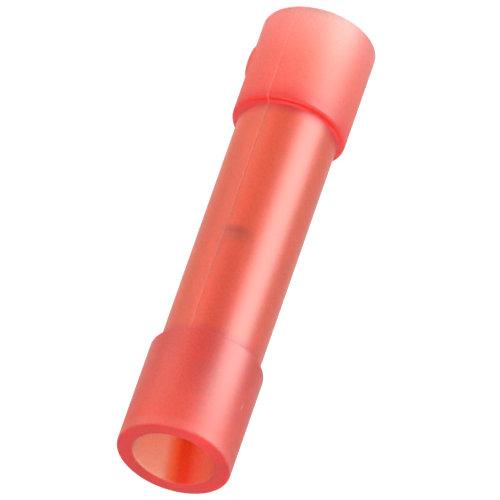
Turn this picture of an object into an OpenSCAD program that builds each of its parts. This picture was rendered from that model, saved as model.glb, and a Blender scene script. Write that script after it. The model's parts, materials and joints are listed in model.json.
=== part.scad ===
// Insulated butt splice connector for conductors of 0.5 to 1.5 square millimetres.
// A tinned copper barrel is pressed into a moulded nylon sleeve with a wider collar at each end.
// The bore runs along Z. The sleeve stands on the rim of its lower collar, at Z = 0.

/* [Sleeve] */
// Outside diameter of both collars
collar_d = 5.84; // [5.6:0.02:6.6]
// Outside diameter of the neck that grips the barrel
neck_d = 5.12; // [4.8:0.02:5.4]
// Bore of both collars, which takes the insulation of the wire
entry_d = 4.2; // [3.8:0.02:4.6]
// Depth of the lower collar's bore, from its rim to the funnel
lower_entry_depth = 4.95; // [3.5:0.05:6]
// Depth of the upper collar's bore, from its rim to the end of the barrel
upper_entry_depth = 5.2; // [3.5:0.05:6.5]
// Nylon between the bottom of a collar's bore and the shoulder outside it
shoulder_web = 0.8; // [0.5:0.05:1.2]

/* [Funnel] */
// Height of the cone that leads the strands into the barrel
funnel_height = 0.85; // [0.5:0.05:2]
// How much wider than the barrel's bore the small end of the cone is, per side
funnel_lead = 0.15; // [0.05:0.05:0.4]

/* [Edges] */
// Rounding of the lower rim, outside
lower_rim_round = 0.2; // [0.1:0.02:0.5]
// Rounding of the upper rim, outside
upper_rim_round = 0.14; // [0.06:0.02:0.3]
// Rounding of both rims at the bore
mouth_round = 0.1; // [0.04:0.02:0.2]
// Rounding of the outer corner of each shoulder
shoulder_round = 0.2; // [0.05:0.01:0.3]
// Fillet where the neck runs into a shoulder
neck_fillet = 0.16; // [0.05:0.01:0.3]

/* [Barrel] */
// Length of the barrel
barrel_length = 15; // [12:0.5:20]
// Outside diameter of the barrel
barrel_d = 3.3; // [2.8:0.05:3.7]
// Bore of the barrel, which takes the bare strands
conductor_d = 1.7; // [1.4:0.05:2.1]
// Gap between the barrel and the neck, per side
barrel_fit = 0.02; // [0.01:0.01:0.06]
// Break of the barrel's outer edges
barrel_edge = 0.1; // [0.05:0.01:0.2]
// Lead-in at each end of the barrel's bore
barrel_lead = 0.2; // [0.05:0.01:0.25]

/* [Wire stop] */
// How far the stop lies above the middle of the barrel
stop_offset = 0.34; // [-1:0.02:1]
// Bearing of the punch mark round the barrel, from +X towards +Y
stop_bearing = -4; // [-180:1:180]
// Depth of the punch mark in the outside of the barrel
mark_depth = 0.25; // [0.1:0.01:0.35]
// Nose radius of the punch
punch_nose = 0.32; // [0.2:0.01:0.5]
// Diameter of the passage that the stop leaves
throat_d = 1.1; // [0.8:0.05:1.2]
// How far the passage lies off the barrel's axis, away from the punch
throat_shift = 0.2; // [0.1:0.02:0.25]

/* [Moulding marks] */
// Bearing of the gate scar round the lower collar, from +X towards +Y
gate_bearing = 62; // [0:1:180]
// Height of the gate scar above the collar
gate_height = 0.15; // [0.05:0.01:0.2]
// Length of the gate scar along the collar
gate_length = 1.55; // [1:0.05:2]
// Distance from the lower rim to the gate scar
gate_from_rim = 1.6; // [1:0.05:2.2]
// Height of the parting line above the sleeve
parting_height = 0.03; // [0.02:0.01:0.06]
// Width of the parting line
parting_width = 0.08; // [0.05:0.01:0.15]

/* [Hidden] */
$fn = 96;
collar_r = collar_d / 2;
neck_r = neck_d / 2;
entry_r = entry_d / 2;
barrel_r = barrel_d / 2;
conductor_r = conductor_d / 2;
seat_r = barrel_r + barrel_fit;
funnel_r = conductor_r + funnel_lead;
// Levels along Z, from the lower rim up
barrel_bottom = lower_entry_depth + funnel_height;
barrel_top = barrel_bottom + barrel_length;
sleeve_length = barrel_top + upper_entry_depth;
lower_shoulder = lower_entry_depth + shoulder_web;
upper_shoulder = barrel_top - shoulder_web;
stop_level = (barrel_bottom + barrel_top) / 2 + stop_offset;
// A shoulder's two roundings share its height
shoulder_height = collar_r - neck_r;
shoulder_corner = min(shoulder_round, shoulder_height / 2);
shoulder_fillet = min(neck_fillet, shoulder_height / 2);
// The stop is a bead that runs out in the wall of the bore, and is rooted in it
throat_r = throat_d / 2;
bead_runout = 0.05;
bead_r = conductor_r + throat_shift - throat_r + bead_runout;
bead_root = 0.1;
// The gate scar is highest a little past its middle
gate_lean = 0.15;
// Overlap that carries a cut clear of a face
past = 0.1;

// The waste in a square corner at the origin that a rounding of radius r leaves or fills
module corner_waste(r) {
    difference() {
        square(r);
        translate([r, r]) circle(r);
    }
}

// Half section of the sleeve's outside, made wider by grow for the parting line
module outside_section(grow = 0) {
    difference() {
        union() {
            square([neck_r + grow, sleeve_length]);
            square([collar_r + grow, lower_shoulder]);
            translate([0, upper_shoulder]) square([collar_r + grow, sleeve_length - upper_shoulder]);
            translate([neck_r + grow, lower_shoulder]) corner_waste(shoulder_fillet);
            translate([neck_r + grow, upper_shoulder]) mirror([0, 1]) corner_waste(shoulder_fillet);
        }
        translate([collar_r + grow, 0]) mirror([1, 0]) corner_waste(lower_rim_round);
        translate([collar_r + grow, lower_shoulder]) rotate(180) corner_waste(shoulder_corner);
        translate([collar_r + grow, upper_shoulder]) mirror([1, 0]) corner_waste(shoulder_corner);
        translate([collar_r + grow, sleeve_length]) rotate(180) corner_waste(upper_rim_round);
    }
}

// Half section of the space inside the sleeve: two entries, the funnel and the barrel's seat
module inside_section() {
    translate([0, -past]) square([entry_r, lower_entry_depth + past]);
    polygon([
        [0, lower_entry_depth],
        [entry_r, lower_entry_depth],
        [funnel_r, barrel_bottom],
        [0, barrel_bottom]
    ]);
    translate([0, barrel_bottom]) square([seat_r, barrel_length]);
    translate([0, barrel_top]) square([entry_r, upper_entry_depth + past]);
    translate([entry_r, 0]) corner_waste(mouth_round);
    translate([entry_r, sleeve_length]) mirror([0, 1]) corner_waste(mouth_round);
}

// The scar where the gate was broken off: a low swelling that runs out at the rim side and ends in a step
module gate_scar() {
    rotate(gate_bearing) translate([0, 0, gate_from_rim + gate_length / 2]) intersection() {
        translate([0, 0, gate_lean]) sphere(collar_r + gate_height);
        rotate([0, 90, 0]) cylinder(h = collar_d, d = gate_length);
    }
}

// The fine ridge that the two halves of the mould leave along the sleeve, on both sides
module parting_line() {
    intersection() {
        rotate_extrude() outside_section(parting_height);
        translate([-collar_d, -parting_width / 2, 0]) cube([2 * collar_d, parting_width, sleeve_length]);
    }
}

module insulation_sleeve() {
    color("salmon") difference() {
        union() {
            rotate_extrude() outside_section();
            gate_scar();
            parting_line();
        }
        rotate_extrude() inside_section();
    }
}

// Half section of the plain barrel tube, standing on Z = 0
module barrel_section() {
    polygon([
        [conductor_r + barrel_lead, 0],
        [barrel_r - barrel_edge, 0],
        [barrel_r, barrel_edge],
        [barrel_r, barrel_length - barrel_edge],
        [barrel_r - barrel_edge, barrel_length],
        [conductor_r + barrel_lead, barrel_length],
        [conductor_r, barrel_length - barrel_lead],
        [conductor_r, barrel_lead]
    ]);
}

// The metal that the punch pushes into the bore: a bead that is high under the punch and low opposite
module stop_bead() {
    intersection() {
        cylinder(h = 2 * bead_r + past, r = conductor_r + bead_root, center = true);
        translate([-throat_shift, 0, 0]) rotate_extrude() translate([throat_r + bead_r, 0]) circle(bead_r);
    }
}

// The nose of the punch, lying across the barrel at its outside
module punch() {
    translate([barrel_r - mark_depth + punch_nose, 0, 0])
        rotate([90, 0, 0]) cylinder(h = barrel_d, r = punch_nose, center = true);
}

module crimp_barrel() {
    color("silver") {
        difference() {
            union() {
                translate([0, 0, barrel_bottom]) rotate_extrude() barrel_section();
                translate([0, 0, stop_level]) rotate(stop_bearing) stop_bead();
            }
            translate([0, 0, stop_level]) rotate(stop_bearing) punch();
        }
    }
}

insulation_sleeve();
crimp_barrel();
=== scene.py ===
# %% [markdown]
# # A red insulated butt splice connector
# Two stripped wires are pushed into this little sleeve from its two ends, and a crimping tool closes it on them.
# Inside, a tinned copper barrel joins the strands. Outside, a sleeve of translucent red nylon insulates the joint.
# The pieces could be drawn from the picture alone. The CAD frame is loaded instead, so that they get their sizes from
# the solids that they stand for. Sizes are written in millimetres, and MM turns them into Blender's metres.

# %% Load the CAD frame
import cmath
import json
import math

import bpy
import numpy as np
from mathutils import Matrix, Vector


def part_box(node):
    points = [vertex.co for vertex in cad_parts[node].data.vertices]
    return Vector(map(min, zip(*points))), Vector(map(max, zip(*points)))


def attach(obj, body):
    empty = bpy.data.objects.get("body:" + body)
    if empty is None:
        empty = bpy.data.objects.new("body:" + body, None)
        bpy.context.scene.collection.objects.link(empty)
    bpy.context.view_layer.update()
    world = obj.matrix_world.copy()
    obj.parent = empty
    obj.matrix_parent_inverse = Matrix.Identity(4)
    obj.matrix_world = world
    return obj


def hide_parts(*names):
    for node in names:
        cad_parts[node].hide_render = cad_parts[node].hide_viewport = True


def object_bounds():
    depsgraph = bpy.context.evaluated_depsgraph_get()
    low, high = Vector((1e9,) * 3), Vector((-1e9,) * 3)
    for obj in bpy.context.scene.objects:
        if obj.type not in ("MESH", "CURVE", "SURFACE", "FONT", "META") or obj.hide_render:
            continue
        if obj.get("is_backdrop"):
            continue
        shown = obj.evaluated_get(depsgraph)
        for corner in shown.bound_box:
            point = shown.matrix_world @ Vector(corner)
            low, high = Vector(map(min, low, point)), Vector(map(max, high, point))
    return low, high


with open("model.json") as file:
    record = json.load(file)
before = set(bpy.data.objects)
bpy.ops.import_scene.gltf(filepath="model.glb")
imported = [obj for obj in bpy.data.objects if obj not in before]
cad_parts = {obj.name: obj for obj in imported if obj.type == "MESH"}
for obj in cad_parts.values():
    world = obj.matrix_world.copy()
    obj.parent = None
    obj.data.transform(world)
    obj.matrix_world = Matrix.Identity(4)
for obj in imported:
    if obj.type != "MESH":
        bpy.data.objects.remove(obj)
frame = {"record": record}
cad_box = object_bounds()
MM = 0.001
sleeve_low, sleeve_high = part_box("insulation_sleeve")
barrel_low, barrel_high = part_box("crimp_barrel")
mounts = {mount["name"]: mount["dims"] for mount in frame["record"]["mounts"]}
print("sleeve box in mm", [round(v / MM, 3) for v in (*sleeve_low, *sleeve_high)])
print("barrel box in mm", [round(v / MM, 3) for v in (*barrel_low, *barrel_high)])


# %% [markdown]
# The photograph looks down on the standing sleeve from 32 degrees above, through a long lens, so that its sides stay
# nearly parallel. The picture is turned almost upside down: the upper collar points down and to the left. A Track To
# constraint could aim the camera, but it gives no say over this roll, so the camera's three axes are worked out here.

# %% Camera
ELEVATION, BEARING, ROLL = math.radians(32.35), math.radians(-32.6), math.radians(199.33)
DISTANCE, LENS = 0.9, 1310.0  # metres from the sleeve, and millimetres of focal length
PIXEL = MM / 20.22  # what one pixel of the photograph covers on the sleeve
SHIFT_RIGHT, SHIFT_UP = 2.9, -1.4  # pixels from the middle of the sleeve to the middle of the picture
centre = Vector((0, 0, (sleeve_low[2] + sleeve_high[2]) / 2))


def direction(bearing, elevation):
    """Unit vector from the object, with the bearing counted from +X towards +Y."""
    level = math.cos(elevation)
    return Vector((level * math.cos(bearing), level * math.sin(bearing), math.sin(elevation)))


back = direction(BEARING, ELEVATION)
upright = (Vector((0, 0, 1)) - back * back.z).normalized()
across = upright.cross(back)
right = across * math.cos(ROLL) + upright * math.sin(ROLL)
up = upright * math.cos(ROLL) - across * math.sin(ROLL)
aim = centre + (right * SHIFT_RIGHT + up * SHIFT_UP) * PIXEL
scene = bpy.context.scene
camera = bpy.data.objects.new("camera", bpy.data.cameras.new("camera"))
camera.data.lens = LENS
camera.matrix_world = Matrix.Translation(aim + back * DISTANCE) @ Matrix((right, up, back)).transposed().to_4x4()
scene.collection.objects.link(camera)
scene.camera = camera
scene.view_settings.view_transform = "Standard"
print("camera at", [round(v, 3) for v in camera.location], "lens", camera.data.lens)


# %% [markdown]
# Both pieces are turned: a half section goes once round the bore. A sharp section with a Bevel modifier after it would
# give every edge the same width. On the real part each edge has its own rounding, so each corner of a section carries
# one here. Points held close beside a rounding keep its soft shading off the flat that follows.

# %% Sizes
RIDGE_HEIGHT, RIDGE_HALF_WIDTH = 0.03, 0.04  # the parting line
LOWER_SHOULDER, UPPER_SHOULDER = 5.75, 20.0  # heights where the neck begins and ends
FUNNEL_MOUTH = 4.95  # height where the lower bore runs into the funnel
BARREL_FIT, FUNNEL_LEAD = 0.02, 0.15  # gap round the barrel, and the funnel's extra width at its small end
NECK_R = 2.56
collar_r = sleeve_high[0] / MM - RIDGE_HEIGHT
entry_r = mounts["upper_wire_entry"]["r_mm"]
conductor_r = mounts["upper_conductor_bore"]["r_mm"]
barrel_r = (barrel_high[0] - barrel_low[0]) / 2 / MM
length, foot, head = sleeve_high[2] / MM, barrel_low[2] / MM, barrel_high[2] / MM
seat_r, funnel_r = barrel_r + BARREL_FIT, conductor_r + FUNNEL_LEAD
print("radii: collar", round(collar_r, 3), "entry", round(entry_r, 3), "barrel", round(barrel_r, 3))


# %% Half section of the sleeve
def rounded_outline(corners, steps=6, hold=0.04):
    """Points round a closed outline, each as radius + height * 1j in mm.

    A corner is (radius, height, rounding, stride). Stride is the spacing of points on the stretch after the corner.
    """
    spots = [complex(*corner[:2]) for corner in corners]
    arcs = []
    for i, spot in enumerate(spots):
        enter = (spot - spots[i - 1]) / abs(spot - spots[i - 1])
        leave = spots[(i + 1) % len(spots)] - spot
        turn_by = cmath.phase(leave / enter)
        rounding = corners[i][2]
        start = spot - enter * rounding * math.tan(abs(turn_by) / 2)
        middle = start + enter * 1j * math.copysign(rounding, turn_by)
        arcs.append([middle + (start - middle) * cmath.exp(1j * turn_by * k / steps) for k in range(steps + 1)])
    points = []
    for i, arc in enumerate(arcs):
        points += arc
        run = arcs[(i + 1) % len(arcs)][0] - arc[-1]
        room = abs(run) - 2 * hold
        if room > hold:
            n = max(1, round(room / corners[i][3]))
            points += [arc[-1] + run / abs(run) * (hold + room * k / n) for k in range(n + 1)]
    return points


FINE, EVEN, WIDE, PLAIN = 0.1, 0.9, 1.5, 20.0  # strides: under later marks, on walls, in the seat, and one step only
sleeve_section = rounded_outline([
    (collar_r, 0, 0.2, FINE), (collar_r, LOWER_SHOULDER, 0.18, PLAIN),
    (NECK_R, LOWER_SHOULDER, 0.16, EVEN), (NECK_R, UPPER_SHOULDER, 0.16, PLAIN),
    (collar_r, UPPER_SHOULDER, 0.18, FINE), (collar_r, length, 0.14, PLAIN),
    (entry_r, length, 0.1, EVEN), (entry_r, head, 0.08, PLAIN),
    (seat_r, head, 0.05, WIDE), (seat_r, foot, 0.03, PLAIN),
    (funnel_r, foot, 0.06, PLAIN), (entry_r, FUNNEL_MOUTH, 0.08, EVEN), (entry_r, 0, 0.1, PLAIN),
])
print("the sleeve's section has", len(sleeve_section), "points")


# %% [markdown]
# Turning follows a rule, so one Geometry Nodes tree does it for both pieces. A grid has one row for each step round
# and one column for each point of the section. Each grid point takes its radius and height from the section and is
# turned to its row. A Screw modifier could turn a section too. The tree is chosen because it also raises the parting
# line, the fine ridge that the two halves of the mould leave along the sleeve.

# %% The turning tree: inputs and grid
def add(tree, kind, inputs=None, **options):
    """A new node of that kind. inputs maps a socket's name or number to a value or to another node's output."""
    node = tree.nodes.new(kind)
    for key, value in options.items():
        setattr(node, key, value)
    for key, value in (inputs or {}).items():
        if isinstance(value, bpy.types.NodeSocket):
            tree.links.new(value, node.inputs[key])
        else:
            node.inputs[key].default_value = value
    return node


TURNING_INPUTS = {"Section": "Geometry", "Steps round": "Int", "Ridge height": "Float", "Ridge half width": "Float",
                  "Ridge from radius": "Float", "Finish": "Material"}
tree = bpy.data.node_groups.new("turned_piece", "GeometryNodeTree")
tree.is_modifier = True
for name, kind in TURNING_INPUTS.items():
    tree.interface.new_socket(name, in_out="INPUT", socket_type=f"NodeSocket{kind}")
tree.interface.new_socket("Piece", in_out="OUTPUT", socket_type="NodeSocketGeometry")
given = add(tree, "NodeGroupInput").outputs
count = add(tree, "GeometryNodeAttributeDomainSize", {0: given["Section"]}).outputs["Point Count"]
columns = add(tree, "FunctionNodeIntegerMath", {0: count, 1: 1}, operation="ADD").outputs[0]
rows = add(tree, "FunctionNodeIntegerMath", {0: given["Steps round"], 1: 1}, operation="ADD").outputs[0]
grid = add(tree, "GeometryNodeMeshGrid", {"Vertices X": rows, "Vertices Y": columns}).outputs["Mesh"]
print("the turning tree takes", ", ".join(TURNING_INPUTS))

# %% The turning tree: each grid point goes to its place
index = add(tree, "GeometryNodeInputIndex").outputs[0]
row = add(tree, "FunctionNodeIntegerMath", {0: index, 1: columns}, operation="DIVIDE_FLOOR").outputs[0]
column = add(tree, "FunctionNodeIntegerMath", {0: index, 1: columns}, operation="MODULO").outputs[0]
place = add(tree, "FunctionNodeIntegerMath", {0: column, 1: count}, operation="MODULO").outputs[0]
position = add(tree, "GeometryNodeInputPosition").outputs[0]
sample = add(tree, "GeometryNodeSampleIndex", {"Geometry": given["Section"], "Value": position, "Index": place},
             data_type="FLOAT_VECTOR", domain="POINT").outputs[0]
share = add(tree, "ShaderNodeMath", {0: row, 1: given["Steps round"]}, operation="DIVIDE").outputs[0]
angle = add(tree, "ShaderNodeMath", {0: share, 1: math.tau}, operation="MULTIPLY").outputs[0]
turned = add(tree, "ShaderNodeVectorRotate", {"Vector": sample, "Angle": angle}, rotation_type="Z_AXIS").outputs[0]
print("with its turning, the tree has", len(tree.nodes), "nodes")

# %% The turning tree: the ridge
radius = add(tree, "ShaderNodeSeparateXYZ", {0: sample}).outputs["X"]
offside = add(tree, "ShaderNodeSeparateXYZ", {0: turned}).outputs["Y"]
offside = add(tree, "ShaderNodeMath", {0: offside}, operation="ABSOLUTE").outputs[0]
outside = add(tree, "ShaderNodeMath", {0: radius, 1: given["Ridge from radius"]}, operation="GREATER_THAN").outputs[0]
peak = add(tree, "ShaderNodeMath", {0: outside, 1: given["Ridge height"]}, operation="MULTIPLY").outputs[0]
rise = add(tree, "ShaderNodeMapRange", {"Value": offside, "From Min": 0.0, "From Max": given["Ridge half width"],
                                        "To Min": peak, "To Max": 0.0}).outputs[0]
growth = add(tree, "ShaderNodeMath", {0: rise, 1: radius}, operation="DIVIDE").outputs[0]
growth = add(tree, "ShaderNodeMath", {0: growth, 1: 1.0}, operation="ADD").outputs[0]
growth = add(tree, "ShaderNodeCombineXYZ", {"X": growth, "Y": growth, "Z": 1.0}).outputs[0]
ridged = add(tree, "ShaderNodeVectorMath", {0: turned, 1: growth}, operation="MULTIPLY").outputs[0]
print("with its ridge, the tree has", len(tree.nodes), "nodes")

# %% The turning tree: close and finish
WELD = 1e-6  # metres: the first row and the last, and the first column and the last, become one
placed = add(tree, "GeometryNodeSetPosition", {"Geometry": grid, "Position": ridged}).outputs[0]
closed = add(tree, "GeometryNodeMergeByDistance", {"Geometry": placed, "Distance": WELD}).outputs[0]
smooth = add(tree, "GeometryNodeSetShadeSmooth", {"Geometry": closed}).outputs[0]
real = add(tree, "GeometryNodeRealizeInstances", {"Geometry": smooth}).outputs[0]
finished = add(tree, "GeometryNodeSetMaterial", {"Geometry": real, "Material": given["Finish"]}).outputs[0]
add(tree, "NodeGroupOutput", {0: finished})
turn_tree = tree
sockets = {item.name: item.identifier for item in turn_tree.interface.items_tree}
print("the finished tree has", len(turn_tree.nodes), "nodes and the sockets", sockets)


# %% [markdown]
# The sleeve is injection-moulded nylon, tinted red in the mass and clear enough for the barrel to show through. One
# flat red would look like paint. In the photograph it is milky at the lower end, deep red at the two shoulders, orange
# over the bright barrel and dark on the face of the rim. An image could hold that, but it would need unwrapping, so a
# colour ramp along the height says it. This ramp paints light as well as tint: the milky lower end is a painted glow,
# the orange over the neck a painted reflection of the barrel, a pale band on the rim's edge a painted highlight and the
# dark face painted shade. A second ramp goes across the bore and paints light there: one side is pale with painted
# light, and beside it runs a red streak of painted shadow. Object coordinates are turned about the bore, so that Y lies
# across this streak.

# %% Nylon: tint along the sleeve and across the bore
def colour(hex_code):
    """Linear RGBA from an sRGB hex code such as #C8102E."""
    parts = [int(hex_code[i:i + 2], 16) / 255 for i in (1, 3, 5)]
    return [c / 12.92 if c <= 0.04045 else ((c + 0.055) / 1.055) ** 2.4 for c in parts] + [1.0]


# Painted light in this ramp: the pale stops up to 4.6 mm paint a glow through the open lower end, the neck's orange
# paints the barrel's reflection, 25.8 to 25.95 mm is a painted highlight on the rim's edge, and the last two stops are
# painted shade on the face.
HEIGHT_TINT_AND_LIGHT = (  # height in mm, and the colour there
    (0.0, "#F9DDD7"), (2.9, "#F9AA95"), (4.6, "#F98B73"), (5.5, "#FF2712"), (5.95, "#FF2712"), (6.4, "#F96710"),
    (12.9, "#F9630A"), (19.3, "#F95D0A"), (19.9, "#EF3A1B"), (20.6, "#EC3A10"), (22.5, "#EF4418"), (25.3, "#F35227"),
    (25.8, "#F96F61"), (25.95, "#F96F61"), (25.99, "#F9120D"), (26.0, "#F9120D"),
)
# Painted light in the bore: the pale stops paint light on one side, and the red stops from 0.6 to 0.95 mm paint a
# shadow streak.
BORE_PAINTED_LIGHT = (  # place across the bore in mm, and the colour there
    (-2.1, "#FFF6E2"), (-0.3, "#FFEFDA"), (0.2, "#FF9561"), (0.6, "#EC441B"), (0.95, "#EC441B"), (1.75, "#FFA28E"),
    (2.1, "#FFAA95"),
)
PAINTED_LIGHT_TURN, SHADOW_STREAK_SLANT = math.radians(-147.4), 0.15  # the streak drifts sideways by this share of its depth
nylon = bpy.data.materials.new("translucent red nylon")
nylon.use_nodes = True
tree = nylon.node_tree
skin = tree.nodes["Principled BSDF"]
coords = add(tree, "ShaderNodeTexCoord").outputs["Object"]
x, y, z = add(tree, "ShaderNodeSeparateXYZ", {0: coords}).outputs
height = add(tree, "ShaderNodeMath", {0: z, 1: length * MM}, operation="DIVIDE").outputs[0]
# These turned coordinates carry the painted light in the bore and the painted shade on the flanks.
facing = add(tree, "ShaderNodeMapping", {"Vector": coords, "Rotation": (0, 0, PAINTED_LIGHT_TURN)}).outputs[0]
sideways = add(tree, "ShaderNodeSeparateXYZ", {0: facing}).outputs["Y"]
drift = add(tree, "ShaderNodeMath", {0: z, 1: -SHADOW_STREAK_SLANT, 2: SHADOW_STREAK_SLANT * length * MM},
            operation="MULTIPLY_ADD").outputs[0]
slanted = add(tree, "ShaderNodeMath", {0: sideways, 1: drift}, operation="ADD").outputs[0]
bore_width = {"From Min": -entry_r * MM, "From Max": entry_r * MM}
side = add(tree, "ShaderNodeMapRange", {"Value": sideways, **bore_width}).outputs[0]
slanted = add(tree, "ShaderNodeMapRange", {"Value": slanted, **bore_width}).outputs[0]
along = add(tree, "ShaderNodeValToRGB", {0: height})
bore_light_ramp = add(tree, "ShaderNodeValToRGB", {0: slanted})
height_tint_and_light_stops = [(h / length, code) for h, code in HEIGHT_TINT_AND_LIGHT]
bore_light_stops = [((w / entry_r + 1) / 2, code) for w, code in BORE_PAINTED_LIGHT]
for ramp, stops in ((along.color_ramp, height_tint_and_light_stops), (bore_light_ramp.color_ramp, bore_light_stops)):
    ramp.elements.remove(ramp.elements[1])
    ramp.elements[0].color = colour(stops[0][1])
    for spot, code in stops[1:]:
        ramp.elements.new(spot).color = colour(code)
print("tint stops", len(HEIGHT_TINT_AND_LIGHT), "along the sleeve,", len(BORE_PAINTED_LIGHT), "across the bore")

# %% [markdown]
# More lies over the ramps. Both flanks of the lower collar are painted redder than its middle: painted shade at its
# sides. The barrel's punch mark shows through the neck as a dark spot: the scattering below hides most of the metal's
# own mark, so the spot is in the tint, as painted shade of the dent. A fine pale line, a painted highlight, follows the
# parting line up to the upper collar, where the photograph shows none. Clouds of about 2 mm and a fine speck break up
# the rest. Vertex colours could hold such masks, as coarse as the mesh is. Distances in Object coordinates are sharp on
# any mesh. A Mix node for colours takes them at inputs 6 and 7, and output 2 gives one.

# %% Nylon: painted light in the bore, painted shade on the flanks
SKIN_DEPTH = 0.01  # the bore's tint reaches this far into the nylon
# Painted shade: both flanks of the lower collar are mixed towards a deeper red.
FLANK_SHADE_RED, GATE_FLANK_SHADE, FAR_FLANK_SHADE = "#FF4530", 0.55, 0.5
FLANK_SHADE_HEIGHTS = {"From Min": 5.5 * MM, "From Max": 4.6 * MM}  # the red comes in below the shoulder
flat = add(tree, "ShaderNodeCombineXYZ", {0: x, 1: y}).outputs[0]
radius = add(tree, "ShaderNodeVectorMath", {0: flat}, operation="LENGTH").outputs["Value"]
# Inside the bore, the ramp of painted light and painted shadow takes the place of the height ramp.
bore = add(tree, "ShaderNodeMath", {0: radius, 1: (entry_r + SKIN_DEPTH) * MM}, operation="LESS_THAN").outputs[0]
tint = add(tree, "ShaderNodeMix", {"Factor": bore, 6: along.outputs[0], 7: bore_light_ramp.outputs[0]},
           data_type="RGBA").outputs[2]
lower = add(tree, "ShaderNodeMapRange", {"Value": z, **FLANK_SHADE_HEIGHTS}).outputs[0]
gate_flank_shade = add(tree, "ShaderNodeMapRange", {"Value": side, "From Min": 0.6, "From Max": 0.0,
                                              "To Max": GATE_FLANK_SHADE}).outputs[0]
far_flank_shade = add(tree, "ShaderNodeMapRange", {"Value": side, "From Min": 0.75, "From Max": 1.0,
                                             "To Max": FAR_FLANK_SHADE}).outputs[0]
flanks = add(tree, "ShaderNodeMath", {0: gate_flank_shade, 1: far_flank_shade}, operation="ADD").outputs[0]
flanks = add(tree, "ShaderNodeMath", {0: flanks, 1: lower}, operation="MULTIPLY").outputs[0]
tint = add(tree, "ShaderNodeMix", {"Factor": flanks, 6: tint, 7: colour(FLANK_SHADE_RED)}, data_type="RGBA").outputs[2]
print("flanks take", GATE_FLANK_SHADE, "and", FAR_FLANK_SHADE, "of", FLANK_SHADE_RED)

# %% Nylon: painted shade over the punch mark, and painted highlight on the parting line
STOP_HEIGHT = (foot + head) / 2 + 0.34  # the wire stop lies a little above the barrel's middle
SPOT_CENTRE, SPOT_SHRINK = (2.4 * MM, -0.55 * MM, STOP_HEIGHT * MM), (0.4 / MM, 0.95 / MM, 2.6 / MM)
DENT_SHADE_RED, DENT_SHADE_SHARE = "#7A1C10", 0.42
PARTING_GLINT_PINK, LINE_SHARE = "#FFC0AC", 0.4
LINE_OUTSIDE = 2.5  # mm from the bore's axis, past which the line is drawn
LINE_WIDTH = {"From Min": 0.06 * MM, "From Max": 0.02 * MM}  # from its edge to its core
LINE_HEIGHTS = {"From Min": 20.3 * MM, "From Max": 19.3 * MM}  # it fades in below the upper collar
# Painted shade of the dent seen through the nylon: a soft dark spot mixed into the colour.
off_spot = add(tree, "ShaderNodeVectorMath", {0: coords, 1: SPOT_CENTRE}, operation="SUBTRACT").outputs[0]
off_spot = add(tree, "ShaderNodeVectorMath", {0: off_spot, 1: SPOT_SHRINK}, operation="MULTIPLY").outputs[0]
off_spot = add(tree, "ShaderNodeVectorMath", {0: off_spot}, operation="LENGTH").outputs["Value"]
spot = add(tree, "ShaderNodeMapRange", {"Value": off_spot, "From Min": 1.0, "From Max": 0.2, "To Max": DENT_SHADE_SHARE},
           interpolation_type="SMOOTHSTEP").outputs[0]
tint = add(tree, "ShaderNodeMix", {"Factor": spot, 6: tint, 7: colour(DENT_SHADE_RED)}, data_type="RGBA").outputs[2]
# Painted highlight: a pale line along the parting line's ridge, outside and below the upper collar.
offside = add(tree, "ShaderNodeMath", {0: y}, operation="ABSOLUTE").outputs[0]
line = add(tree, "ShaderNodeMapRange", {"Value": offside, **LINE_WIDTH, "To Max": LINE_SHARE}).outputs[0]
reach = add(tree, "ShaderNodeMath", {0: x}, operation="ABSOLUTE").outputs[0]
outer = add(tree, "ShaderNodeMath", {0: reach, 1: LINE_OUTSIDE * MM}, operation="GREATER_THAN").outputs[0]
line = add(tree, "ShaderNodeMath", {0: line, 1: outer}, operation="MULTIPLY").outputs[0]
below = add(tree, "ShaderNodeMapRange", {"Value": z, **LINE_HEIGHTS}).outputs[0]
line = add(tree, "ShaderNodeMath", {0: line, 1: below}, operation="MULTIPLY").outputs[0]
tint = add(tree, "ShaderNodeMix", {"Factor": line, 6: tint, 7: colour(PARTING_GLINT_PINK)}, data_type="RGBA").outputs[2]
print("spot over the punch mark at", round(STOP_HEIGHT, 2), "mm, parting line outside", LINE_OUTSIDE, "mm")

# %% Nylon: clouds and speck
CLOUD, GRAIN = 2.2, 0.12  # mm; the real grain is finer, and is drawn this coarse so that it shows
CLOUD_DARK, CLOUD_LIGHT, SPECK = 0.94, 1.04, 0.1
cloud = add(tree, "ShaderNodeTexNoise", {"Vector": coords, "Scale": 1 / (CLOUD * MM), "Detail": 3.0}).outputs[0]
shade = add(tree, "ShaderNodeMapRange", {"Value": cloud, "To Min": CLOUD_DARK, "To Max": CLOUD_LIGHT}).outputs[0]
grain = add(tree, "ShaderNodeTexNoise", {"Vector": coords, "Scale": 1 / (GRAIN * MM), "Detail": 2.0}).outputs[0]
speck = add(tree, "ShaderNodeMapRange", {"Value": grain, "From Min": 0.3, "From Max": 0.7,
                                         "To Min": 1 - SPECK, "To Max": 1 + SPECK}).outputs[0]
shade = add(tree, "ShaderNodeMath", {0: shade, 1: speck}, operation="MULTIPLY").outputs[0]
tint = add(tree, "ShaderNodeHueSaturation", {"Color": tint, "Value": shade}).outputs[0]
tree.links.new(tint, skin.inputs["Base Color"])
print("clouds of", CLOUD, "mm and a grain of", GRAIN, "mm")

# %% [markdown]
# Light that enters the nylon is partly scattered in it and partly passes on to the metal, losing blue and green on its
# way. Clear glass would show the barrel too sharply, and plain scattering would hide it, so subsurface scattering,
# transmission and an absorbing volume work together. The surface is satin, as a mould gives it that was eroded by
# sparks and not polished. In the photograph the lower collar is duller than the neck, and the upper collar grows
# duller towards its rim.

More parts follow.
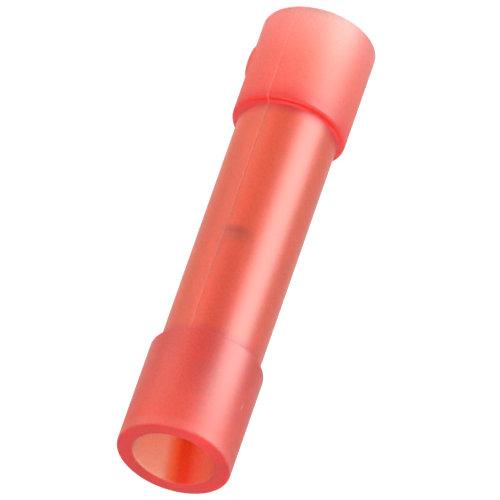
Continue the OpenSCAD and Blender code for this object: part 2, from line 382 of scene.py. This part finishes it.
# %% Nylon: its surface and depth
SATIN, SATIN_SPREAD = 0.38, 0.04
LOWER_DULL = {"From Min": 6.2 * MM, "From Max": 5.2 * MM, "To Max": 0.18}  # added on the lower collar
RIM_DULL = {"From Min": 21.5 * MM, "From Max": 25.5 * MM, "To Max": 0.14}  # added towards the upper rim
GRAIN_DEPTH = 0.004
satin = add(tree, "ShaderNodeMapRange", {"Value": grain, "To Min": SATIN - SATIN_SPREAD,
                                         "To Max": SATIN + SATIN_SPREAD}).outputs[0]
for where in (LOWER_DULL, RIM_DULL):
    dull = add(tree, "ShaderNodeMapRange", {"Value": z, **where}).outputs[0]
    satin = add(tree, "ShaderNodeMath", {0: satin, 1: dull}, operation="ADD").outputs[0]
tree.links.new(satin, skin.inputs["Roughness"])
bump = add(tree, "ShaderNodeBump", {"Height": grain, "Strength": 0.5, "Distance": GRAIN_DEPTH * MM}).outputs[0]
tree.links.new(bump, skin.inputs["Normal"])
skin.inputs["IOR"].default_value = 1.53
skin.inputs["Specular IOR Level"].default_value = 0.6
skin.inputs["Transmission Weight"].default_value = 0.62
skin.inputs["Subsurface Weight"].default_value = 1.0
skin.inputs["Subsurface Radius"].default_value = (1.0, 0.3, 0.25)
skin.inputs["Subsurface Scale"].default_value = 0.8 * MM
dye = add(tree, "ShaderNodeVolumeAbsorption", {"Color": colour("#FEB389"), "Density": 400.0})
tree.links.new(dye.outputs[0], tree.nodes["Material Output"].inputs["Volume"])
print("nylon has", len(tree.nodes), "nodes")

# %% [markdown]
# The barrel is a length of copper tube with a thin coat of tin, a soft, warm white metal. Drawing the tube leaves long
# fine scratches along it. Anisotropic gloss could stand for them, but the nylon blurs it away, so they are a noise
# that is stretched lengthways, drawn 0.07 mm wide so that it shows. Where the punch went in for the wire stop, the
# dent is painted dark: painted shade in the recess. It is found by its depth below the tube's outside, close to the
# stop.

# %% Tinned copper
SCRATCH_WIDTH, SCRATCH_LENGTH, SCRATCH_DEPTH = 0.07, 5.0, 0.004
DENT_SHADE_TOP, DENT_SHADE_FULL, DENT_SHADE_LIMIT = 0.02, 0.15, 0.4  # depths below the outside, in mm
DENT_SHADE_REACH = 0.4  # mm above and below the stop
TIN_SATIN, TIN_SPREAD = 0.3, 0.06
tin = bpy.data.materials.new("tin-plated copper")
tin.use_nodes = True
tree = tin.node_tree
metal = tree.nodes["Principled BSDF"]
coords = add(tree, "ShaderNodeTexCoord").outputs["Object"]
stretch = (1 / (SCRATCH_WIDTH * MM), 1 / (SCRATCH_WIDTH * MM), 1 / (SCRATCH_LENGTH * MM))
drawn = add(tree, "ShaderNodeMapping", {"Vector": coords, "Scale": stretch}).outputs[0]
streak = add(tree, "ShaderNodeTexNoise", {"Vector": drawn, "Scale": 1.0, "Detail": 3.0}).outputs[0]
plate = add(tree, "ShaderNodeMix", {"Factor": streak, 6: colour("#E6E0D6"), 7: colour("#F4EEE6")},
            data_type="RGBA").outputs[2]
across_tube = add(tree, "ShaderNodeVectorMath", {0: coords, 1: (1, 1, 0)}, operation="MULTIPLY").outputs[0]
radius = add(tree, "ShaderNodeVectorMath", {0: across_tube}, operation="LENGTH").outputs["Value"]
sunk = add(tree, "ShaderNodeMapRange", {"Value": radius, "From Min": (barrel_r - DENT_SHADE_TOP) * MM,
                                        "From Max": (barrel_r - DENT_SHADE_FULL) * MM}).outputs[0]
wall = add(tree, "ShaderNodeMath", {0: radius, 1: (barrel_r - DENT_SHADE_LIMIT) * MM}, operation="GREATER_THAN").outputs[0]
z = add(tree, "ShaderNodeSeparateXYZ", {0: coords}).outputs["Z"]
near_stop = add(tree, "ShaderNodeMath", {0: z, 1: STOP_HEIGHT * MM, 2: DENT_SHADE_REACH * MM},
                operation="COMPARE").outputs[0]
tin_dent_shade = add(tree, "ShaderNodeMath", {0: sunk, 1: wall}, operation="MULTIPLY").outputs[0]
tin_dent_shade = add(tree, "ShaderNodeMath", {0: tin_dent_shade, 1: near_stop}, operation="MULTIPLY").outputs[0]
# Painted shade: the metal in the dent is mixed towards near black.
plate = add(tree, "ShaderNodeMix", {"Factor": tin_dent_shade, 6: plate, 7: colour("#100D0A")}, data_type="RGBA").outputs[2]
tree.links.new(plate, metal.inputs["Base Color"])
satin = add(tree, "ShaderNodeMapRange", {"Value": streak, "To Min": TIN_SATIN - TIN_SPREAD,
                                         "To Max": TIN_SATIN + TIN_SPREAD}).outputs[0]
tree.links.new(satin, metal.inputs["Roughness"])
bump = add(tree, "ShaderNodeBump", {"Height": streak, "Strength": 0.3, "Distance": SCRATCH_DEPTH * MM}).outputs[0]
tree.links.new(bump, metal.inputs["Normal"])
metal.inputs["Metallic"].default_value = 1.0
print("tin has", len(tree.nodes), "nodes, wire stop at", round(STOP_HEIGHT, 2), "mm")


# %% [markdown]
# The sleeve is the turned section with the marks of its moulding. The gate is the place where the nylon ran into the
# mould; broken off, it leaves a low round swelling on the lower collar. A small pit on the upper collar is taken for a
# sink mark, and the parting line's ridge fades out below it. All could be separate pieces or booleans, but each is at
# most 0.15 mm high, so a rule moves the vertices of the turned mesh: the skin stays in one piece and shades smoothly.

# %% Sleeve: turned
def turn(name, section, finish, steps, ridge_height=0.0, ridge_from=0.0):
    """A plain mesh object turned from a half section in mm."""
    outline = bpy.data.meshes.new(f"{name}_section")
    outline.from_pydata([(p.real * MM, 0, p.imag * MM) for p in section], [], [])
    piece = bpy.data.objects.new(name, outline)
    scene.collection.objects.link(piece)
    modifier = piece.modifiers.new("turning", "NODES")
    modifier.node_group = turn_tree
    values = {"Steps round": steps, "Ridge height": ridge_height * MM, "Ridge half width": RIDGE_HALF_WIDTH * MM,
              "Ridge from radius": ridge_from * MM, "Finish": finish}
    for key, value in values.items():
        modifier[sockets[key]] = value
    mesh = bpy.data.meshes.new_from_object(piece.evaluated_get(bpy.context.evaluated_depsgraph_get()))
    piece.modifiers.remove(modifier)
    piece.data = mesh
    mesh.name = name
    bpy.data.meshes.remove(outline)
    return piece


SKIN = 0.1  # a vertex counts as outside down to this far below the radius there
SLEEVE_STEPS = 384
sleeve = turn("nylon_sleeve", sleeve_section, nylon, SLEEVE_STEPS, RIDGE_HEIGHT, NECK_R - SKIN)
print("sleeve vertices", len(sleeve.data.vertices))

# %% Sleeve: its moulding marks
GATE = {"bearing": math.radians(62), "height": 2.375, "length": 1.55, "lean": 0.15, "swell": 0.15, "edge": 0.06}
PIT = {"bearing": math.radians(-85), "height": 22.9, "length": 0.6, "width": 0.22, "depth": 0.04}
RIDGE_FADE = 19.4  # the ridge runs out over one millimetre from this height
ON_RIDGE = 0.001  # sine of the bearing within which a vertex lies on the ridge


def reshape(piece, rule):
    """Moves each vertex to the radius that rule(radius, bearing, height) gives, in mm and radians."""
    flat = np.empty(len(piece.data.vertices) * 3)
    piece.data.vertices.foreach_get("co", flat)
    x, y, z = flat.reshape(-1, 3).T / MM
    bearing = np.arctan2(y, x)
    r = rule(np.hypot(x, y), bearing, z)
    piece.data.vertices.foreach_set("co", (np.c_[r * np.cos(bearing), r * np.sin(bearing), z] * MM).ravel())
    piece.data.update()


def moulding_marks(r, bearing, z):
    """The gate's scar swells the lower collar. The upper one has a pit, and the ridge runs out on it."""
    side, along = r * np.sin(bearing - GATE["bearing"]), z - GATE["height"]
    inside = GATE["length"] / 2 - np.hypot(side, along)
    ball = np.sqrt((collar_r + GATE["swell"]) ** 2 - np.clip(along - GATE["lean"], -1, 1) ** 2)
    here = (r > collar_r - SKIN) & (np.cos(bearing - GATE["bearing"]) > 0)
    r = r + here * np.clip(ball - r, 0, None) * np.clip(inside / GATE["edge"], 0, 1)
    side, along = r * np.sin(bearing - PIT["bearing"]), z - PIT["height"]
    away = np.hypot(side / PIT["width"], along / PIT["length"]) * 2
    here = (r > collar_r - SKIN) & (np.cos(bearing - PIT["bearing"]) > 0)
    r = r - here * PIT["depth"] * np.clip(1 - away ** 2, 0, 1)
    ridge = (np.abs(np.sin(bearing)) < ON_RIDGE) & (r > NECK_R - SKIN)
    return r - ridge * RIDGE_HEIGHT * np.clip(z - RIDGE_FADE, 0, 1)


reshape(sleeve, moulding_marks)
print("sleeve triangles", 2 * len(sleeve.data.polygons))

# %% [markdown]
# The barrel stops each wire half way: a punch dents the tube from outside, and the metal it moves stands inside as a
# bead. A boolean would cut the dent but leave long thin faces round it. The tube is turned instead, with its points
# close together only where the dent and the bead will be, and a rule moves them: a round nose presses the outside in,
# and a ring that lies off the axis shapes the bead in the bore.

# %% Barrel: turned
EDGE, LEAD_IN, SOFT, CREASE = 0.1, 0.2, 0.04, 0.01  # broken outer edge, lead-in of the bore, and two roundings
DENT_REACH, DENT_STRIDE = 0.5, 0.025
BEAD_REACH, BEAD_STRIDE = 0.6, 0.03
barrel_section = rounded_outline([
    (barrel_r, foot + EDGE, SOFT, PLAIN), (barrel_r, STOP_HEIGHT - DENT_REACH, CREASE, DENT_STRIDE),
    (barrel_r, STOP_HEIGHT + DENT_REACH, CREASE, PLAIN), (barrel_r, head - EDGE, SOFT, PLAIN),
    (barrel_r - EDGE, head, SOFT, PLAIN), (conductor_r + LEAD_IN, head, SOFT, PLAIN),
    (conductor_r, head - LEAD_IN, SOFT, PLAIN), (conductor_r, STOP_HEIGHT + BEAD_REACH, CREASE, BEAD_STRIDE),
    (conductor_r, STOP_HEIGHT - BEAD_REACH, CREASE, PLAIN), (conductor_r, foot + LEAD_IN, SOFT, PLAIN),
    (conductor_r + LEAD_IN, foot, SOFT, PLAIN), (barrel_r - EDGE, foot, SOFT, PLAIN),
], steps=3, hold=0.03)
BARREL_STEPS = 240
barrel = turn("tinned_barrel", barrel_section, tin, BARREL_STEPS)
print("barrel vertices", len(barrel.data.vertices))

# %% Barrel: its wire stop
STOP_BEARING = math.radians(-4)
PUNCH_NOSE, PUNCH_DEPTH = 0.32, 0.25
THROAT_R, THROAT_SHIFT, BEAD_R = 0.55, 0.2, 0.55
FACING = 0.3  # cosine of the bearing from the punch, past which it no longer reaches


def wire_stop(r, bearing, z):
    """A punch dents the barrel from outside. Inside, the metal it moves makes a bead that is high under the punch."""
    rise, facing = z - STOP_HEIGHT, np.cos(bearing - STOP_BEARING)
    flat = barrel_r - PUNCH_DEPTH + PUNCH_NOSE - np.sqrt(np.clip(PUNCH_NOSE ** 2 - rise ** 2, 0, None))
    flat = np.where(np.abs(rise) < PUNCH_NOSE, flat, np.inf)
    dented = np.where(facing > FACING, np.minimum(r, flat / np.clip(facing, FACING, 1)), r)
    ring = THROAT_R + BEAD_R - np.sqrt(np.clip(BEAD_R ** 2 - rise ** 2, 0, None))
    bead = np.sqrt(ring ** 2 - THROAT_SHIFT ** 2 * (1 - facing ** 2)) - THROAT_SHIFT * facing
    beaded = np.where(np.abs(rise) < BEAD_R, np.minimum(r, bead), r)
    return np.where(r > (barrel_r + conductor_r) / 2, dented, beaded)


reshape(barrel, wire_stop)
print("barrel triangles", 2 * len(barrel.data.polygons))

# %% [markdown]
# The picture's ground is pure white, as on a light table. A white floor under strong lamps would do it, but would
# flood the sleeve with light from below. So the camera sees white paper, which still takes the shadow of the object.
# To every other ray the floor is clear, and gloss and transmission see the white world through it. Only the light
# that falls on the nylon's body gets a weak glow from the floor.

# %% Floor
PAPER_GLOW, BODY_GLOW = 0.9, 0.32
floor_mesh = bpy.data.meshes.new("floor")
floor_mesh.from_pydata([(-1, -1, 0), (1, -1, 0), (1, 1, 0), (-1, 1, 0)], [], [(0, 1, 2, 3)])
floor = bpy.data.objects.new("floor", floor_mesh)
scene.collection.objects.link(floor)
table = bpy.data.materials.new("white light table")
table.use_nodes = True
tree = table.node_tree
tree.nodes.remove(tree.nodes["Principled BSDF"])
path = add(tree, "ShaderNodeLightPath").outputs
paper = add(tree, "ShaderNodeBsdfDiffuse", {"Color": colour("#7F7F7F")}).outputs[0]
white = add(tree, "ShaderNodeEmission", {"Strength": PAPER_GLOW}).outputs[0]
seen = add(tree, "ShaderNodeAddShader", {0: paper, 1: white}).outputs[0]
clear = add(tree, "ShaderNodeBsdfTransparent").outputs[0]
lit = add(tree, "ShaderNodeMath", {0: path["Is Diffuse Ray"], 1: BODY_GLOW}, operation="MULTIPLY").outputs[0]
glow = add(tree, "ShaderNodeEmission", {"Strength": lit}).outputs[0]
through = add(tree, "ShaderNodeAddShader", {0: clear, 1: glow}).outputs[0]
both = add(tree, "ShaderNodeMixShader", {0: path["Is Camera Ray"], 1: through, 2: seen}).outputs[0]
tree.links.new(both, tree.nodes["Material Output"].inputs["Surface"])
floor_mesh.materials.append(table)
floor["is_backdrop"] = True
print("floor of", floor.dimensions.x, "m")

# %% [markdown]
# The world is white to the camera, to gloss and to transmission, and dimmer for the light that falls on the nylon's
# body. An upright wall that is seen from above mirrors what lies below the horizon, so the key lamp for the long soft
# highlight stands there, under the clear floor, to the right in the picture. One lamp for everything would tie the
# highlight to the colour: the key makes only shine, and three large lamps, above, to the left and to the right, make
# none.

# %% World
WORLD_LEVEL = 0.36
world = bpy.data.worlds.new("studio")
scene.world = world
world.use_nodes = True
tree = world.node_tree
path = add(tree, "ShaderNodeLightPath").outputs
dim = tree.nodes["Background"]
dim.inputs["Color"].default_value = colour("#FFFFFF")
dim.inputs["Strength"].default_value = WORLD_LEVEL
white = add(tree, "ShaderNodeBackground", {"Color": colour("#FFFFFF"), "Strength": 1.0}).outputs[0]
ground = add(tree, "ShaderNodeMath", {0: path["Is Camera Ray"], 1: path["Is Glossy Ray"]},
             operation="MAXIMUM").outputs[0]
ground = add(tree, "ShaderNodeMath", {0: ground, 1: path["Is Transmission Ray"]}, operation="MAXIMUM").outputs[0]
both = add(tree, "ShaderNodeMixShader", {0: ground, 1: dim.outputs[0], 2: white}).outputs[0]
tree.links.new(both, tree.nodes["World Output"].inputs["Surface"])
print("world level", WORLD_LEVEL)

# %% Lamps
LAMP_DISTANCE = 0.3


def softbox(name, bearing, elevation, width, height, radiance, shine=False, body=True):
    """A rectangular lamp that faces the object. Cycles shows P watts on an area A at a radiance of P / (4 A)."""
    lamp = bpy.data.lights.new(name, "AREA")
    lamp.shape = "RECTANGLE"
    lamp.size, lamp.size_y = width, height
    lamp.energy = 4 * width * height * radiance
    holder = bpy.data.objects.new(name, lamp)
    toward = direction(math.radians(bearing), math.radians(elevation))
    holder.location = centre + toward * LAMP_DISTANCE
    holder.rotation_euler = toward.to_track_quat("Z", "Y").to_euler()
    holder.visible_camera = False
    holder.visible_glossy = shine
    holder.visible_diffuse = body
    holder.visible_transmission = body
    scene.collection.objects.link(holder)


softbox("key", -80, -32, 0.24, 0.4, 6.7, shine=True, body=False)
softbox("top", -25, 60, 0.3, 0.3, 2.15)
softbox("fill", 35, -20, 0.25, 0.25, 1.85)
softbox("side", -130, 10, 0.25, 0.25, 1.1)

# %% [markdown]
# Last, each piece rides on the part's one body and takes the place of its CAD solid.
# The solids could stay and only be painted, but they have coarser facets and no pit. The box of the dressed part is
# written beside the CAD box, to show that nothing has grown.

# %% Hand over
for piece, node, slot in ((sleeve, "insulation_sleeve", "red_nylon"), (barrel, "crimp_barrel", "tinned_copper")):
    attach(piece, "root")
    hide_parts(node)
new_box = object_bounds()
for name, box in (("CAD", cad_box), ("dressed", new_box)):
    print(name, "box in mm", [[round(v / MM, 3) for v in corner] for corner in box])
